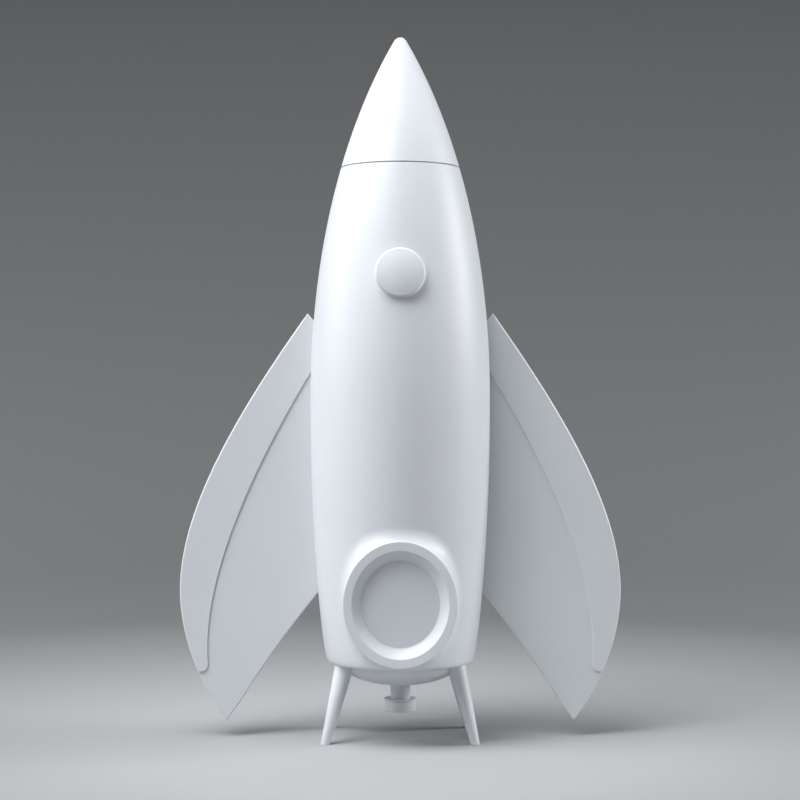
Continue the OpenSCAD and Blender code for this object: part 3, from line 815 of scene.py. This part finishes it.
# ---------------------------------------------------------------------------
# Launch lug: a thin white tube glued along the rear of the left fin, which the
# launch rod passes through.
lug_low, lug_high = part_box("launch_lug")
lug_centre = (lug_low + lug_high) / 2
LUG_BORE = 0.002
lug_r = (lug_high.x - lug_low.x) / 2
lug_mesh = turned_mesh("launch_lug_tube", ring_line(LUG_BORE, lug_r, lug_low.z, lug_high.z, 0.0001), 64)
lug_mesh.transform(Matrix.Translation((lug_centre.x, lug_centre.y, 0)))
smooth_piece("launch_lug_tube", lug_mesh, "airframe", "white_shell", mount_paint, "launch_lug")


# ---------------------------------------------------------------------------
# Large porthole: a moulded oval bezel whose skirt is faired into the hull, a
# flat opaque pane sunk in it, a foam gasket and a backing ring behind.
def ring_stack(name, rows, count):
    """A closed ring of faces through rows of points, each row a function from an angle to a point."""
    bm = bmesh.new()
    section = bmesh.ops.create_circle(bm, segments=len(rows), radius=0.5)["verts"]
    bmesh.ops.rotate(bm, verts=section, cent=(0, 0, 0), matrix=Matrix.Rotation(math.pi / 2, 3, "X"))
    bmesh.ops.translate(bm, verts=section, vec=(1, 0, 0))
    bmesh.ops.spin(bm, geom=bm.verts[:] + bm.edges[:], cent=(0, 0, 0), axis=(0, 0, 1), angle=math.tau,
                   steps=count, use_merge=True, use_duplicate=False)
    first = math.atan2(section[0].co.z, section[0].co.x - 1)
    for v in bm.verts:
        turn = math.atan2(v.co.z, v.co.xy.length - 1) - first
        v.co = rows[round(turn / math.tau * len(rows)) % len(rows)](math.atan2(v.co.y, v.co.x))
    bmesh.ops.recalc_face_normals(bm, faces=bm.faces)
    if bm.calc_volume(signed=True) < 0:
        bmesh.ops.reverse_faces(bm, faces=bm.faces)
    mesh = bpy.data.meshes.new(name)
    bm.to_mesh(mesh)
    bm.free()
    return mesh


def oval_row(radius, out):
    """A ring of the porthole's oval shape at a distance in front of the rocket's axis."""
    return lambda a: PORT_CENTRE + Vector((PORT_SQUEEZE * radius * math.cos(a), -out, radius * math.sin(a)))


LIP_R = pane_r - 0.0017
FACE_R = pane_r + 0.0051
EASE = 0.00035
COVE_R = 0.016
COVE_STEPS = 14
ROOM_LOW = underside + 0.0008


def port_point(a, reach, drop):
    """A point at an angle and an oval radius of the porthole, at a drop behind the rim's face."""
    return PORT_CENTRE + Vector((PORT_SQUEEZE * reach * math.cos(a), drop - rim_out, reach * math.sin(a)))


def hull_drop(a, spread):
    """Drop from the rim's face to the hull, at an angle and a distance outside the rim."""
    reach = rim_r + spread
    across = PORT_SQUEEZE * reach * math.cos(a)
    return rim_out - math.sqrt(hull_radius(PORT_CENTRE.z + reach * math.sin(a)) ** 2 - across ** 2)


def cove(a):
    """The skirt's line at an angle, as (distance outside the rim, drop): a round cove to the hull."""
    radius = COVE_R
    if math.sin(a) < -0.02:
        room = (PORT_CENTRE.z + rim_r * math.sin(a) - ROOM_LOW) / (-0.85 * math.sin(a))
        radius = (radius ** -4 + room ** -4) ** -0.25
    foot = 0.005
    for _ in range(6):
        slope = (hull_drop(a, foot + 0.0002) - hull_drop(a, foot - 0.0002)) / 0.0004
        rise = hull_drop(a, foot) - slope * foot
        length = math.sqrt(1 + slope * slope)
        centre = radius
        depth = rise + slope * centre - radius * length
        if depth < EASE:
            short = rise - radius * length - EASE
            centre = (-slope * short + math.sqrt(
                (slope * short) ** 2 - (1 + slope ** 2) * (short ** 2 - radius ** 2))) / (1 + slope ** 2)
            depth = rise + slope * centre - radius * length
        foot = centre - radius * slope / length
    top = max(EASE + 0.00003, depth)
    first = math.atan2(top - depth, -centre)
    last = math.atan2(1 / length, -slope / length)
    points = []
    for i in range(COVE_STEPS + 1):
        turn = first + (last - first) * i / COVE_STEPS
        points.append((centre + radius * math.cos(turn), depth + radius * math.sin(turn)))
    return points


def cove_row(step, sunk=0.0):
    """A ring of the skirt, one step down its cove."""
    def point(a):
        spread, drop = cove(a)[step]
        return port_point(a, rim_r + spread, drop + sunk)
    return point


def dish_row(share):
    """A ring of the slightly hollow wall between the pane's lip and the rim's face."""
    reach = LIP_R + (FACE_R - EASE - LIP_R) * share
    return oval_row(reach, pane_out + 0.0003 + (rim_out - EASE - pane_out - 0.0003) * share ** 1.3)


bezel_rows = [
    oval_row(neck_r, pane_out - 0.0075), oval_row(pane_r + 0.00015, pane_out - 0.0075),
    oval_row(pane_r + 0.00015, pane_out), oval_row(LIP_R + 0.0002, pane_out + 0.00002)]
bezel_rows += [dish_row(i / 6) for i in range(7)]
bezel_rows += [
    oval_row(FACE_R - EASE * 0.35, rim_out - EASE * 0.4),
    oval_row(FACE_R + EASE * 0.2, rim_out - EASE * 0.08),
    oval_row(FACE_R + EASE, rim_out), oval_row(rim_r - EASE, rim_out),
    oval_row(rim_r - EASE * 0.45, rim_out - EASE * 0.12),
    oval_row(rim_r - EASE * 0.12, rim_out - EASE * 0.45),
    oval_row(rim_r, rim_out - EASE)]
bezel_rows += [cove_row(i) for i in range(COVE_STEPS + 1)]
bezel_rows += [cove_row(COVE_STEPS, 0.0006), oval_row(neck_r, 0.045)]
smooth_piece("porthole_bezel_moulding", ring_stack("porthole_bezel_moulding", bezel_rows, 224), "airframe",
             "white_shell", white_plastic, "porthole_bezel", angle=11)

pane_plastic = plastic("opaque_pane", (0.60, 0.627, 0.655), (0.588, 0.615, 0.645), 0.32, 0.36, 700, 0.05)
pane_mesh = turned_mesh("porthole_pane_disc", [
    (0, pane_out), (pane_r - 0.0003, pane_out), (pane_r, pane_out - 0.0003), (pane_r, pane_out - 0.002),
    (0, pane_out - 0.002)], 160)
pane_mesh.transform(port_frame)
smooth_piece("porthole_pane_disc", pane_mesh, "airframe", "pane", pane_plastic, "porthole_pane")
foam_rubber = pressed_powder("foam_rubber", (0.04, 0.04, 0.042), (0.02, 0.02, 0.022), 900, 0.0001)
node_finish(foam_rubber, "porthole_gasket")
node_finish(raw_plastic, "porthole_backing_ring")


# ---------------------------------------------------------------------------
# Small porthole: a round, slightly domed plug pressed through the hull, with a
# fine fillet of filler round its root and a spring clip inside.
BUTTON_DOME = 0.0019
BUTTON_EDGE = 0.0009
ROOT_H = 0.0013
ROOT_W = 0.0010
ROOT_START_R = 0.0105
button_line = [(0.0, BUTTON_H)]
for i in range(1, 13):
    share = i / 12
    reach = (button_r - BUTTON_EDGE) * share
    button_line.append((reach, BUTTON_H - BUTTON_DOME * share ** 2))
for i in range(1, 7):
    a = math.radians(90 - 15 * i)
    button_line.append((button_r - BUTTON_EDGE + BUTTON_EDGE * math.cos(a),
                        BUTTON_H - BUTTON_DOME - BUTTON_EDGE * (1 - math.sin(a))))
for i in range(0, 9):
    a = math.radians(90 * i / 8)
    button_line.append((button_r + ROOT_W * (1 - math.cos(a)), ROOT_H * (1 - math.sin(a))))
button_line += [(button_r + ROOT_W, -0.0005), (BUTTON_HOLE_R, -0.0009), (BUTTON_SHANK_R, -0.005),
                (0.0, -0.005)]
button_mesh = turned_mesh("button_plug", button_line, 144)
outward = (button_frame.to_3x3() @ Vector((0, 0, 1))).normalized()
for v in button_mesh.vertices:
    if v.co.z < ROOT_H - 1e-7 and v.co.xy.length > ROOT_START_R:
        above = button_frame @ Vector((v.co.x, v.co.y, 0.02))
        skin_z = (button_frame.inverted() @ on_hull(above, -outward)).z
        v.co.z = skin_z + (v.co.z * (ROOT_H - skin_z) / ROOT_H if v.co.z > 0 else v.co.z)
button_mesh.transform(button_frame)
smooth_piece("button_plug", button_mesh, "airframe", "white_shell", white_plastic, "button_porthole",
             angle=60)
node_finish(zinc_wire, "button_clip")


# ---------------------------------------------------------------------------
# Nose: a hollow moulded ogive with a rounded tip, glued to the plug that slides
# in the neck. A clay weight sits in the tip and a screw eye in the plug's end.
TIP_CENTRE = 0.484
TIP_R = 0.0049
NOSE_HOLLOW_TOP = 0.466
NOSE_ROOF = 0.470
tip_start = math.atan2(BOW_LINE[3][1] - TIP_CENTRE, BOW_LINE[3][0])
nose_line = [(top_r - WALL, seam), (top_r - SEAM_DEPTH, seam)]
nose_line += side_points(seam + SEAM_EDGE, BOW_LINE[3][1], 0.0025)
for i in range(1, 11):
    a = tip_start + (math.pi / 2 - tip_start) * i / 10
    nose_line.append((TIP_R * max(math.cos(a), 0.0), TIP_CENTRE + TIP_R * math.sin(a)))
nose_line.append((0.0, NOSE_ROOF))
nose_line += [(r - WALL, z) for r, z in side_points(seam, NOSE_HOLLOW_TOP, 0.006)[::-1]]
smooth_piece("nose_moulding", turned_mesh("nose_moulding", nose_line, 240), "nose", "white_shell",
             white_plastic, "nose_cone", angle=40)
node_finish(raw_plastic, "nose_shoulder")
node_finish(pressed_clay, "nose_ballast")
screw_eye("nose_screw_eye", "nose", "nose_eyelet", -1)


# ---------------------------------------------------------------------------
# Retainer cap: a small moulded cap, open in the middle for the exhaust, that
# screws over the collar and holds the motor up.
cap_low, cap_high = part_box("retainer_cap")
cap_bore, cap_r = radii("retainer_cap")
CAP_FLOOR = 0.0016
CAP_EASE = 0.0006
cap_line = [
    (cap_bore, cap_low.z + 0.0002), (cap_bore + 0.0002, cap_low.z), (cap_r - CAP_EASE, cap_low.z),
    (cap_r - CAP_EASE * 0.3, cap_low.z + CAP_EASE * 0.3), (cap_r, cap_low.z + CAP_EASE),
    (cap_r, cap_high.z - 0.0003), (cap_r - 0.0003, cap_high.z), (thread_r + 0.0003, cap_high.z),
    (thread_r + 0.00008, cap_high.z - 0.0003), (thread_r + 0.00008, cap_low.z + CAP_FLOOR),
    (cap_bore, cap_low.z + CAP_FLOOR), (cap_bore, cap_low.z + 0.0002)]
smooth_piece("retainer_cap_moulding", turned_mesh("retainer_cap_moulding", cap_line, 128), "retainer",
             "white_shell", white_plastic, "retainer_cap")
